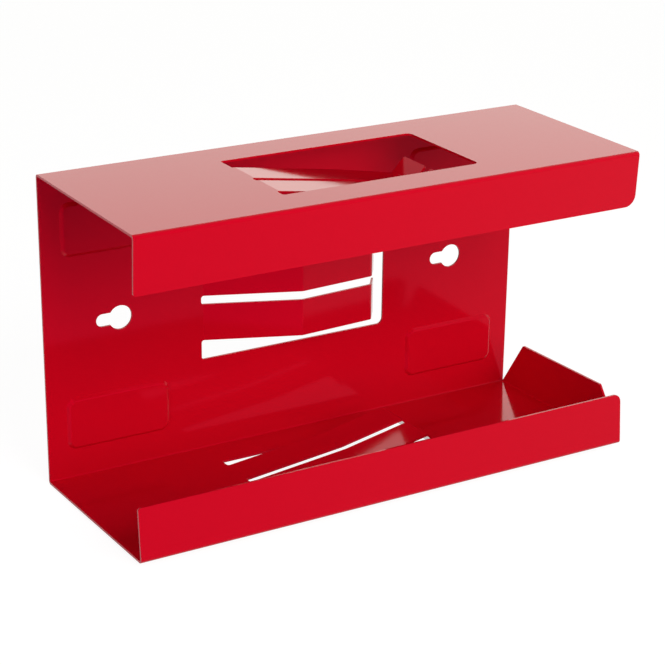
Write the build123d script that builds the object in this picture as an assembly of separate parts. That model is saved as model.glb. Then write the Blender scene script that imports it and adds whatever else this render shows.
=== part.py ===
from build123d import *
from collections import namedtuple
from math import cos, radians, sin, tan
import os

os.makedirs("parts", exist_ok=True)

# Disposable glove dispenser, in millimetres and degrees.
# X runs from the open left end to the right end with the stop tab.
# Y runs from the front lips (negative) to the back panel (positive), and Z runs up.
# The origin is at the middle of the footprint, level with the lowest fold.

# Sheet and folded body
sheet = 1.2                  # thickness of the steel
fold_inner_radius = 0.9      # inside radius of the four long folds and of the tab's fold
body_width = 300.0
body_depth = 116.0
body_height = 175.0
floor_rise = 1.7             # the floor panel rises this much from the back to the front
upper_lip_height = 30.8
lower_lip_height = 29.8
lip_lean = 3.0               # both front lips lean in towards the glove box
lip_square_corner = 1.5      # radius of the lips' free corners at the left end
upper_lip_corner = 6.5       # radius of the upper lip's free corner at the right end
lower_lip_corner = 4.5       # radius of the lower lip's free corner at the right end

# Stop tab at the right end
tab_height = 30.0
tab_top_length = 74.5
tab_side_angle = 35.0        # between the tab's slanted sides and upright
tab_forward = 1.8            # the tab's top sits this far in front of the floor's middle
tab_corner = 1.3
tab_relief = 0.8             # gap between the tab's fold and the long folds beside it

# Keyholes in the back panel
keyhole_left_margin = 44.6   # from the left end to the middle of the left head
keyhole_right_margin = 42.4  # from the right end to the middle of the right head
keyhole_level = 88.7         # the keyholes and the back window share this height
keyhole_head = 13.6          # diameter that the screw head passes
keyhole_neck = 7.2           # width of the slot for the screw's shank
keyhole_run = 10.6           # from the middle of the head to the middle of the slot's end

# Windows in the top, back and floor panels
window_start = 93.3          # from the left end to the ends of the slots
window_length = 118.0
window_width = 68.0
window_corner = 3.5
top_window_forward = 0.9     # the top window sits this far in front of the panel's middle
slot_corner = 1.5

# Spring fingers, two in each window
finger_width = 21.2
finger_gap = 4.9             # between the two fingers of a window
finger_bend_radius = 2.5     # middle of the sheet, at every bend of a finger
finger_corner = 1.6
finger_root = 1.5            # from the ends of the slots to the fingers' first bend

# Each window's fingers: how far the pair sits from the window's middle, along the flat sheet
# towards the upper lip, and the line of a finger from its first bend. A point of that line is
# its run to the right and its rise into the bay.
Springs = namedtuple("Springs", "shift crest tip_bend tip_end")
back_springs = Springs(shift=0.9, crest=(51.5, 19.9), tip_bend=(97.8, 16.9), tip_end=(105.1, 6.8))
top_springs = Springs(shift=3.5, crest=(57.2, 8.9), tip_bend=(97.0, 16.4), tip_end=(104.8, 8.0))
floor_springs = Springs(shift=3.5, crest=(59.2, 6.2), tip_bend=(99.6, 13.9), tip_end=(108.7, 4.1))

# Pockets for the magnets, pressed into the back panel from behind
pocket_length = 61.0
pocket_height = 30.0
pocket_depth = 1.6
pocket_wall_angle = 45.0     # between a pocket's walls and the way it is pressed
pocket_corner = 5.5
pocket_edge_radius = 1.5     # round a pocket's raised rim in the bay and its mouth at the rear
pocket_side_margin = 11.4
pocket_edge_margin = 17.5

# Magnets
magnet_clearance = 0.9       # all round, to the flat floor of the pocket
magnet_corner = 1.5

# Derived places
half_sheet = sheet / 2
fold_middle_radius = fold_inner_radius + half_sheet
fold_outer_radius = fold_inner_radius + sheet
left_end = -body_width / 2
right_end = body_width / 2
through = 4 * sheet


def fold_reach(turn):
    """From a fold's sharp corner to where its bend starts, in the middle of the sheet."""
    return fold_middle_radius * tan(radians(turn / 2))


def corner_inset(turn):
    """From the outermost line of a fold to its sharp corner, in the middle of the sheet."""
    return fold_outer_radius - fold_reach(turn)


# The sharp corners of the folded strip, in the middle of the sheet
rear_middle = body_depth / 2 - half_sheet
top_middle = body_height - half_sheet
front_corner = -body_depth / 2 + corner_inset(90 + lip_lean)
floor_corner = corner_inset(90 + floor_rise)
floor_run = (rear_middle - front_corner) / cos(radians(floor_rise))

# Planes in the middle of each panel's sheet. X runs to the right, Y runs along the flat sheet
# towards the upper lip, and Z points into the bay.
floor_normal = (0, sin(radians(floor_rise)), cos(radians(floor_rise)))
floor_plane = Plane((0, rear_middle, floor_corner), (1, 0, 0), floor_normal)
back_plane = Plane((0, rear_middle, 0), (1, 0, 0), (0, -1, 0))
top_plane = Plane((0, 0, top_middle), (1, 0, 0), (0, 0, -1))

window_left = left_end + window_start
back_window = back_plane * Pos(window_left, keyhole_level, 0)
top_window = top_plane * Pos(window_left, top_window_forward, 0)
floor_window = floor_plane * Pos(window_left, -floor_run / 2, 0)


def lip_tip(height):
    """A front lip's free edge, seen from its fold: how far in it leans and how far up it is."""
    run = height - half_sheet
    return run * sin(radians(lip_lean)), run * cos(radians(lip_lean))


def folded_strip():
    """The long strip: upper lip, top, back, floor and lower lip, folded from one sheet."""
    upper_in, upper_down = lip_tip(upper_lip_height)
    lower_in, lower_up = lip_tip(lower_lip_height)
    floor_front = floor_plane.from_local_coords((0, -floor_run, 0))
    lower_edge = floor_plane.from_local_coords((0, -floor_run + lower_in, lower_up))
    fold_line = FilletPolyline(
        (front_corner + upper_in, top_middle - upper_down),
        (front_corner, top_middle),
        (rear_middle, top_middle),
        (rear_middle, floor_corner),
        (floor_front.Y, floor_front.Z),
        (lower_edge.Y, lower_edge.Z),
        radius=fold_middle_radius,
    )
    return extrude(Plane.YZ * trace(fold_line, sheet), body_width / 2, both=True)


def round_lip_corners(body, edge_middle, left_radius, right_radius):
    """Round a front lip's two free corners. edge_middle is a point halfway along its edge."""
    for x_end, radius in ((left_end, left_radius), (right_end, right_radius)):
        corner = Vector(x_end, edge_middle.Y, edge_middle.Z)
        short_edges = [edge for edge in body.edges() if abs(edge.length - sheet) < sheet / 10]
        corner_edge = ShapeList(short_edges).sort_by_distance(corner)[0]
        body = fillet(corner_edge, radius)
    return body


def tab_room():
    """What is taken from the floor's right end, where the tab's fold stands instead."""
    rear_limit = -fold_reach(90 + floor_rise)
    front_limit = -floor_run + fold_reach(90 + lip_lean)
    room = Box(fold_outer_radius, rear_limit - front_limit, 2 * fold_outer_radius)
    place = Pos(right_end - fold_outer_radius / 2, (rear_limit + front_limit) / 2, 0)
    return floor_plane * (place * room)


def tab_outline():
    """The tab's outline, seen along the sheet's width: slanted sides and two rounded corners."""
    middle = -floor_run / 2
    top = tab_height - half_sheet
    half_top = tab_top_length / 2
    half_base = half_top + tab_height * tan(radians(tab_side_angle))
    outline = Polyline(
        (middle - tab_forward - half_base, -half_sheet),
        (middle - tab_forward + half_base, -half_sheet),
        (middle - tab_forward + half_top, top),
        (middle - tab_forward - half_top, top),
        close=True,
    )
    face = make_face(outline)
    face = fillet(face.vertices().group_by(Axis.Y)[-1], tab_corner)
    rear_limit = -fold_reach(90 + floor_rise) - tab_relief
    front_limit = -floor_run + fold_reach(90 + lip_lean) + tab_relief
    fold_band = Rectangle(rear_limit - front_limit, 4 * tab_height)
    return face & (Pos((rear_limit + front_limit) / 2, 0) * fold_band)


def stop_tab():
    """The tab folded up from the floor at the right end, narrower towards its top."""
    fold_line = FilletPolyline(
        (right_end - 2 * fold_outer_radius, 0),
        (right_end - half_sheet, 0),
        (right_end - half_sheet, tab_height - half_sheet),
        radius=fold_middle_radius,
    )
    bent_strip = extrude(Plane.XZ * trace(fold_line, sheet), 2 * body_depth, both=True)
    cutter_plane = Plane.YZ.offset(right_end - 2 * fold_outer_radius)
    cutter = extrude(cutter_plane * tab_outline(), 2 * fold_outer_radius)
    return floor_plane * (bent_strip & cutter)


def finger_places(springs):
    """The two fingers' middle lines across a window."""
    half_spread = (finger_gap + finger_width) / 2
    return springs.shift - half_spread, springs.shift + half_spread


def window_cut(window, springs):
    """One window's opening: three slots beside the fingers' roots, then the full width."""
    low_finger, high_finger = finger_places(springs)
    slot_limits = (
        (-window_width / 2, low_finger - finger_width / 2),
        (low_finger + finger_width / 2, high_finger - finger_width / 2),
        (high_finger + finger_width / 2, window_width / 2),
    )
    slot_length = window_length / 2
    outline = Sketch()
    for low, high in slot_limits:
        slot = RectangleRounded(slot_length, high - low, slot_corner)
        outline += Pos(slot_length / 2, (low + high) / 2) * slot
    open_length = window_length - finger_root
    full_width = Rectangle(open_length, window_width)
    full_width = fillet(full_width.vertices().group_by(Axis.X)[-1], window_corner)
    outline += Pos(finger_root + open_length / 2, 0) * full_width
    return window * extrude(outline, through, both=True)


def spring_finger(springs):
    """One finger, bent at its root, at its crest and at its tip, with rounded tip corners."""
    fold_line = FilletPolyline(
        (-finger_root - finger_bend_radius, 0),
        (0, 0),
        springs.crest,
        springs.tip_bend,
        springs.tip_end,
        radius=finger_bend_radius,
    )
    blade = extrude(Plane.XZ * trace(fold_line, sheet), finger_width / 2, both=True)
    tip_x, tip_z = springs.tip_end
    tip_face = blade.faces().sort_by_distance((tip_x, 0, tip_z))[0]
    tip_corners = tip_face.edges().filter_by(Axis.Y, reverse=True)
    return Pos(finger_root, 0, 0) * fillet(tip_corners, finger_corner)


def keyhole():
    """A round head with a slot that runs to the left, cut across the back panel."""
    shape = Circle(keyhole_head / 2)
    shape += Pos(-keyhole_run / 2, 0) * SlotCenterToCenter(keyhole_run, keyhole_neck)
    return extrude(shape, through, both=True)


# Between the outlines of a pocket's raised side and of its hollow. It keeps the sloping walls
# one sheet thick.
pocket_wall_shift = sheet * tan(radians((90 - pocket_wall_angle) / 2))
pocket_wall_run = pocket_depth * tan(radians(pocket_wall_angle))
pocket_side = body_width / 2 - pocket_side_margin - pocket_length / 2
pocket_low = pocket_edge_margin + pocket_height / 2
pocket_high = body_height - pocket_low
pocket_places = {
    "upper_left": (-pocket_side, pocket_high),
    "upper_right": (pocket_side, pocket_high),
    "lower_left": (-pocket_side, pocket_low),
    "lower_right": (pocket_side, pocket_low),
}


def raised_pad():
    """A pocket's inner side, raised into the bay from the back panel's inner face."""
    outline = RectangleRounded(pocket_length, pocket_height, pocket_corner)
    pad = Pos(0, 0, half_sheet) * extrude(outline, pocket_depth, taper=pocket_wall_angle)
    return fillet(pad.edges().group_by(Axis.Z)[-1], pocket_edge_radius)


def pocket_hollow():
    """A pocket's hollow, open at the rear face of the back panel."""
    length = pocket_length - 2 * pocket_wall_shift
    height = pocket_height - 2 * pocket_wall_shift
    outline = RectangleRounded(length, height, pocket_corner - pocket_wall_shift)
    return Pos(0, 0, -half_sheet) * extrude(outline, pocket_depth, taper=pocket_wall_angle)


def round_pocket_mouths(body):
    """Round the edges of the four pockets' mouths, in the rear face of the back panel."""
    mouth_edges = ShapeList()
    for x, level in pocket_places.values():
        reach = Box(pocket_length, sheet / 4, pocket_height)
        reach = Pos(x, body_depth / 2, level) * reach
        mouth_edges += [edge for edge in body.edges() if reach.is_inside(edge.center())]
    return fillet(mouth_edges, pocket_edge_radius)


def magnet():
    """A flat magnet that fills a pocket's depth, so its rear face is level with the back."""
    narrowing = 2 * (pocket_wall_shift + pocket_wall_run + magnet_clearance)
    outline = RectangleRounded(pocket_length - narrowing, pocket_height - narrowing, magnet_corner)
    return Pos(0, 0, -half_sheet) * extrude(outline, pocket_depth)


def dispenser_body():
    """The whole folded sheet."""
    body = folded_strip()
    upper_in, upper_down = lip_tip(upper_lip_height)
    lower_in, lower_up = lip_tip(lower_lip_height)
    upper_edge = Vector(0, front_corner + upper_in, top_middle - upper_down)
    lower_edge = floor_plane.from_local_coords((0, -floor_run + lower_in, lower_up))
    body = round_lip_corners(body, upper_edge, lip_square_corner, upper_lip_corner)
    body = round_lip_corners(body, lower_edge, lip_square_corner, lower_lip_corner)
    body = body - tab_room() + stop_tab()

    for window, springs in (
        (back_window, back_springs),
        (top_window, top_springs),
        (floor_window, floor_springs),
    ):
        body -= window_cut(window, springs)
        for place in finger_places(springs):
            body += window * (Pos(0, place, 0) * spring_finger(springs))

    for x in (left_end + keyhole_left_margin, right_end - keyhole_right_margin):
        body -= back_plane * (Pos(x, keyhole_level, 0) * keyhole())

    for x, level in pocket_places.values():
        body += back_plane * (Pos(x, level, 0) * raised_pad())
        body -= back_plane * (Pos(x, level, 0) * pocket_hollow())
    return round_pocket_mouths(body)


export_step(dispenser_body(), "parts/dispenser_body.step")
for name, (x, level) in pocket_places.items():
    export_step(back_plane * (Pos(x, level, 0) * magnet()), f"parts/magnet_{name}.step")
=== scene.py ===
# %% [markdown]
# # A disposable glove dispenser in glossy red powder coat
#
# The object is one sheet of steel, cut and folded into an open box, with spring fingers bent out
# of three windows and four flat magnets in pockets in its back. The exact solids come in as the
# frame, so this lesson is about what the solids don't have: the coating that rounds every cut
# edge, the paint itself, the light, and a camera that stands where the photographer stood.

import math

import bmesh
import bpy
from mathutils import Matrix, Vector


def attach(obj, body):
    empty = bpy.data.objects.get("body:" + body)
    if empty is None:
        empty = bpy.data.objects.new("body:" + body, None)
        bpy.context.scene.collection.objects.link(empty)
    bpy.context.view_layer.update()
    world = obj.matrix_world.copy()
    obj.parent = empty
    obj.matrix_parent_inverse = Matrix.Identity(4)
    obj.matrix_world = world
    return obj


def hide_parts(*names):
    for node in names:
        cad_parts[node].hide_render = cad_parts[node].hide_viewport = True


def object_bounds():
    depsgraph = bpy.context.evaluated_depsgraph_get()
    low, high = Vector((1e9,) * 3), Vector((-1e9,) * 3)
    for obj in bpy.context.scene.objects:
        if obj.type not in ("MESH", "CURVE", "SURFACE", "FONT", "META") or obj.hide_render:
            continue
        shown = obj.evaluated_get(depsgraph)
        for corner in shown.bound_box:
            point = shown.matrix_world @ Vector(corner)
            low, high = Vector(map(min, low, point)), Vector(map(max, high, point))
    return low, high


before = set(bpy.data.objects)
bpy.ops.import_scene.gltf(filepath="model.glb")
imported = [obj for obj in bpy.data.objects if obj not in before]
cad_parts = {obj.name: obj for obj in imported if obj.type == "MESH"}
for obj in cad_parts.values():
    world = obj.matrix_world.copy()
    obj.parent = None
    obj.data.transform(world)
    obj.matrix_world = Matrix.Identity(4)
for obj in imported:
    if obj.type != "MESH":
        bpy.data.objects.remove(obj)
frame_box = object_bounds()
print("The solids reach from", frame_box[0], "to", frame_box[1])

# %% [markdown]
# ## The camera
#
# The straight folds of the sheet lead to three vanishing points, and these give the camera's
# turn, drop and roll and the length of its lens. Its place follows from the object's own size. A
# camera could also be aimed with a Track To constraint, but a matrix built from the three
# directions holds the small roll of the photograph as well.

# %% Place the camera
camera_place = Vector((-0.5218, -0.8608, 0.4673))
camera_turn = math.radians(30.91)    # to the right of the object's depth
camera_drop = math.radians(21.08)    # below level
camera_roll = math.radians(0.70)
picture_width_px = 665
focal_length_px = 1990.8
sensor_width_mm = 36.0

ahead = Vector((
    math.sin(camera_turn) * math.cos(camera_drop),
    math.cos(camera_turn) * math.cos(camera_drop),
    -math.sin(camera_drop),
))
level_right = Vector((math.cos(camera_turn), -math.sin(camera_turn), 0))
level_up = level_right.cross(ahead)
right = math.cos(camera_roll) * level_right + math.sin(camera_roll) * level_up
up = math.cos(camera_roll) * level_up - math.sin(camera_roll) * level_right

lens = bpy.data.cameras.new("photo_lens")
lens.sensor_width = sensor_width_mm
lens.lens = focal_length_px / picture_width_px * sensor_width_mm
camera = bpy.data.objects.new("photo_camera", lens)
bpy.context.collection.objects.link(camera)
camera.matrix_world = Matrix.Translation(camera_place) @ Matrix((right, up, -ahead)).transposed().to_4x4()
bpy.context.scene.camera = camera
bpy.context.scene.view_settings.view_transform = "Standard"
print("The lens is", round(lens.lens, 2), "mm")

# %% [markdown]
# ## The stage
#
# The dispenser is photographed on white. One large pale floor does that: it runs past every edge
# of the picture, so no backdrop is needed. To the camera and in reflections most of the floor's
# brightness is its own, and the rest comes from the lamps, so that a soft shadow still grounds
# the object. The world is built in the same way: white where it is seen, and only a plain level
# of light where it shines on the object.

# %% Helpers for materials
def new_material(name):
    """A node material with only its output node."""
    material = bpy.data.materials.new(name)
    material.use_nodes = True
    material.node_tree.nodes.clear()
    output = material.node_tree.nodes.new("ShaderNodeOutputMaterial")
    return material, material.node_tree, output


def seen_directly(tree):
    """1 for rays from the camera and for mirrored or refracted ones, 0 for diffuse light."""
    path = tree.nodes.new("ShaderNodeLightPath")
    total = path.outputs["Is Camera Ray"]
    for ray in ("Is Glossy Ray", "Is Transmission Ray"):
        add = tree.nodes.new("ShaderNodeMath")
        add.operation = "MAXIMUM"
        tree.links.new(total, add.inputs[0])
        tree.links.new(path.outputs[ray], add.inputs[1])
        total = add.outputs[0]
    return total


# %% The floor
floor_reach = 12.0
floor_own_brightness = 0.93   # of white, where the floor is seen
floor_seen_colour = 0.16      # share of the lamps' light added to it there, with the shadow
floor_colour = 0.5            # for the light that the floor throws back at the object

floor_material, tree, output = new_material("pale_floor")
seen = seen_directly(tree)
colour = tree.nodes.new("ShaderNodeMix")
colour.data_type = "RGBA"
colour.inputs[6].default_value = (floor_colour, floor_colour, floor_colour, 1)
colour.inputs[7].default_value = (floor_seen_colour, floor_seen_colour, floor_seen_colour, 1)
tree.links.new(seen, colour.inputs[0])
lit = tree.nodes.new("ShaderNodeBsdfDiffuse")
tree.links.new(colour.outputs[2], lit.inputs["Color"])
strength = tree.nodes.new("ShaderNodeMath")
strength.operation = "MULTIPLY"
strength.inputs[1].default_value = floor_own_brightness
tree.links.new(seen, strength.inputs[0])
white = tree.nodes.new("ShaderNodeEmission")
tree.links.new(strength.outputs[0], white.inputs["Strength"])
both = tree.nodes.new("ShaderNodeAddShader")
tree.links.new(lit.outputs[0], both.inputs[0])
tree.links.new(white.outputs[0], both.inputs[1])
tree.links.new(both.outputs[0], output.inputs["Surface"])

floor_mesh = bpy.data.meshes.new("floor")
corners = [(x * floor_reach, y * floor_reach, 0) for x, y in ((-1, -1), (1, -1), (1, 1), (-1, 1))]
floor_mesh.from_pydata(corners, [], [(0, 1, 2, 3)])
floor_mesh.materials.append(floor_material)
floor = bpy.data.objects.new("floor", floor_mesh)
bpy.context.collection.objects.link(floor)
print("The floor is", 2 * floor_reach, "m wide")

# %% The world
world_light = 0.02

world = bpy.data.worlds.new("white_studio")
bpy.context.scene.world = world
world.use_nodes = True
tree = world.node_tree
tree.nodes.clear()
output = tree.nodes.new("ShaderNodeOutputWorld")
shining = tree.nodes.new("ShaderNodeBackground")
shining.inputs["Strength"].default_value = world_light
showing = tree.nodes.new("ShaderNodeBackground")
showing.inputs["Strength"].default_value = 1.0
for background in (shining, showing):
    background.inputs["Color"].default_value = (1, 1, 1, 1)
blend = tree.nodes.new("ShaderNodeMixShader")
tree.links.new(seen_directly(tree), blend.inputs["Fac"])
tree.links.new(shining.outputs[0], blend.inputs[1])
tree.links.new(showing.outputs[0], blend.inputs[2])
tree.links.new(blend.outputs[0], output.inputs["Surface"])
print("The world shines at", world_light)

# %% [markdown]
# ## The lamps
#
# Five softboxes do the rest. A tall one stands straight in front and fills the open bay, with a
# dimmer one at its right that lifts the right ends of the lips. One at the left grazes the ends
# of the folds, and one overhead shines down through the top window. The one behind is wide, dim
# and a little warm, and low enough that the top panel mirrors it towards the camera: seen at such
# a flat angle even red paint reflects like pale glass, and that is why the top looks pink.
#
# Light adds, so the strengths can be found from pictures lit by one lamp at a time. Here a
# strength says how bright a lamp's face looks, so it can be compared with the white of the world.
# Only the lamp behind is mirrored. From the sides, the mirror images of the others would wash
# out whole panels.

# %% The softboxes
object_middle = (Vector(frame_box[0]) + Vector(frame_box[1])) / 2


def softbox(name, turn, rise, distance, width, height, brightness, colour=(1, 1, 1),
            mirrored=False):
    """A lamp at a turn from the depth axis (to the right) and a rise above level, in degrees."""
    turn = math.radians(turn)
    rise = math.radians(rise)
    away = Vector((
        math.sin(turn) * math.cos(rise),
        math.cos(turn) * math.cos(rise),
        math.sin(rise),
    ))
    lamp = bpy.data.lights.new(name, "AREA")
    lamp.shape = "RECTANGLE"
    lamp.size = width
    lamp.size_y = height
    lamp.energy = brightness * math.pi * width * height
    lamp.color = colour
    box = bpy.data.objects.new(name, lamp)
    bpy.context.collection.objects.link(box)
    box.location = object_middle + distance * away
    box.rotation_euler = (-away).to_track_quat("-Z", "Y").to_euler()
    box.visible_camera = False
    box.visible_glossy = mirrored
    print(name, "shines with", round(lamp.energy, 1), "W")
    return box


softbox("front_softbox", turn=178, rise=19, distance=1.4, width=0.8, height=1.5, brightness=4.6)
softbox("right_softbox", turn=148, rise=22, distance=1.3, width=0.8, height=0.8, brightness=1.8)
softbox("left_softbox", turn=-100, rise=15, distance=1.5, width=0.8, height=0.8, brightness=3.0)
softbox("top_softbox", turn=0, rise=88, distance=1.4, width=0.9, height=0.9, brightness=1.4)
softbox("back_softbox", turn=31, rise=24, distance=1.9, width=2.4, height=1.4, brightness=0.67,
        colour=(1.0, 0.95, 0.78), mirrored=True)

# %% [markdown]
# ## The coated sheet
#
# Powder is sprayed on and melted, so it lies a tenth of a millimetre thick and rounds every cut
# edge. Those narrow rounds catch the light as thin lines, and without them the sheet looks like
# paper. A Bevel node could fake them in the shader, but only in one renderer. Here a copy of
# the solid's own mesh gets real rounds: its triangles are joined, flat neighbours are dissolved
# so that only true edges are left, and a Bevel modifier rounds those.

# %% Round the cut edges
edge_round = 0.00055      # nearly half the sheet, so a cut edge becomes almost fully round
round_segments = 3
merge_distance = 0.000008
flat_angle = math.radians(0.3)
sharp_angle = math.radians(30)


def coated_copy(node_name, piece_name, round_width):
    """A copy of a solid's mesh with its sharp edges rounded, as a coating rounds them."""
    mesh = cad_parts[node_name].data.copy()
    mesh.name = piece_name
    work = bmesh.new()
    work.from_mesh(mesh)
    bmesh.ops.remove_doubles(work, verts=work.verts, dist=merge_distance)
    bmesh.ops.dissolve_degenerate(work, edges=work.edges, dist=merge_distance)
    bmesh.ops.dissolve_limit(work, angle_limit=flat_angle, verts=work.verts, edges=work.edges)
    for face in work.faces:
        face.smooth = True
    work.to_mesh(mesh)
    work.free()
    piece = bpy.data.objects.new(piece_name, mesh)
    bpy.context.collection.objects.link(piece)
    bevel = piece.modifiers.new("coating_round", "BEVEL")
    bevel.width = round_width
    bevel.segments = round_segments
    bevel.limit_method = "ANGLE"
    bevel.angle_limit = sharp_angle
    bevel.use_clamp_overlap = True
    flats_first = piece.modifiers.new("flats_first", "WEIGHTED_NORMAL")
    flats_first.weight = 100
    depsgraph = bpy.context.evaluated_depsgraph_get()
    finished = bpy.data.meshes.new_from_object(piece.evaluated_get(depsgraph))
    finished.name = piece_name
    piece.modifiers.clear()
    piece.data = finished
    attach(piece, "root")
    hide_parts(node_name)
    print(piece_name, "has", len(finished.polygons), "faces")
    return piece


sheet = coated_copy("dispenser_body", "coated_sheet", edge_round)

# %% [markdown]
# ## The paint
#
# Gloss powder coat is a thick clear-looking red with a very faint ripple, called orange peel,
# that bends reflections without dulling them. The ripple is height, not colour, so it goes
# through a Bump node. It is a node group because the magnets' skin uses the same kind of
# unevenness at another scale. The paint's own mirror colour is red where it is looked at straight
# on and white at a flat angle, because the photograph shows little pale sheen on its bright reds.

# %% A group for fine unevenness
def unevenness_group():
    """Two layers of noise on object coordinates, as one height from 0 to 1."""
    group = bpy.data.node_groups.new("fine_unevenness", "ShaderNodeTree")
    for name, default in (("Ripple per metre", 260.0), ("Grain per metre", 1500.0), ("Grain share", 0.15)):
        socket = group.interface.new_socket(name, in_out="INPUT", socket_type="NodeSocketFloat")
        socket.default_value = default
    group.interface.new_socket("Height", in_out="OUTPUT", socket_type="NodeSocketFloat")
    inside = group.nodes.new("NodeGroupInput")
    outside = group.nodes.new("NodeGroupOutput")
    place = group.nodes.new("ShaderNodeTexCoord")
    heights = []
    for scale_name in ("Ripple per metre", "Grain per metre"):
        noise = group.nodes.new("ShaderNodeTexNoise")
        noise.inputs["Detail"].default_value = 1.0
        group.links.new(place.outputs["Object"], noise.inputs["Vector"])
        group.links.new(inside.outputs[scale_name], noise.inputs["Scale"])
        heights.append(noise.outputs["Fac"])
    mix = group.nodes.new("ShaderNodeMix")
    mix.data_type = "FLOAT"
    group.links.new(inside.outputs["Grain share"], mix.inputs[0])
    group.links.new(heights[0], mix.inputs[2])
    group.links.new(heights[1], mix.inputs[3])
    group.links.new(mix.outputs[0], outside.inputs["Height"])
    return group


unevenness = unevenness_group()
group_outputs = [item.name for item in unevenness.interface.items_tree if item.in_out == "OUTPUT"]
print("The group puts out", group_outputs)


# %% Glossy red powder coat
def powder_coat():
    """The red paint of the whole sheet."""
    material, tree, output = new_material("red_powder_coat")
    paint = tree.nodes.new("ShaderNodeBsdfPrincipled")
    paint.inputs["Base Color"].default_value = (0.60, 0.0015, 0.012, 1)
    paint.inputs["Roughness"].default_value = 0.1
    paint.inputs["IOR"].default_value = 1.5
    paint.inputs["Specular Tint"].default_value = (1.0, 0.0, 0.1, 1)
    peel = tree.nodes.new("ShaderNodeGroup")
    peel.node_tree = unevenness
    bump = tree.nodes.new("ShaderNodeBump")
    bump.inputs["Strength"].default_value = 0.35
    bump.inputs["Distance"].default_value = 0.00004
    tree.links.new(peel.outputs["Height"], bump.inputs["Height"])
    tree.links.new(bump.outputs["Normal"], paint.inputs["Normal"])
    tree.links.new(paint.outputs["BSDF"], output.inputs["Surface"])
    return material


sheet.data.materials.clear()
sheet.data.materials.append(powder_coat())

# %% [markdown]
# ## The magnets
#
# The magnets are flat blocks of rubber-bonded ferrite, glued into the pockets of the back. They
# are nearly black, matt and slightly grainy.

# %% Magnet rubber
def magnet_rubber():
    """Dark, matt magnet sheet with a fine grain."""
    material, tree, output = new_material("magnet_rubber")
    skin = tree.nodes.new("ShaderNodeBsdfPrincipled")
    skin.inputs["Base Color"].default_value = (0.012, 0.011, 0.0105, 1)
    skin.inputs["Roughness"].default_value = 0.62
    grain = tree.nodes.new("ShaderNodeGroup")
    grain.node_tree = unevenness
    grain.inputs["Ripple per metre"].default_value = 900.0
    grain.inputs["Grain per metre"].default_value = 5000.0
    grain.inputs["Grain share"].default_value = 0.6
    bump = tree.nodes.new("ShaderNodeBump")
    bump.inputs["Strength"].default_value = 0.6
    bump.inputs["Distance"].default_value = 0.0001
    tree.links.new(grain.outputs["Height"], bump.inputs["Height"])
    tree.links.new(bump.outputs["Normal"], skin.inputs["Normal"])
    tree.links.new(skin.outputs["BSDF"], output.inputs["Surface"])
    return material


rubber = magnet_rubber()
for name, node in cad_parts.items():
    if name.startswith("magnet"):
        node.data.materials.clear()
        node.data.materials.append(rubber)
        print(name, "is finished in", rubber.name)
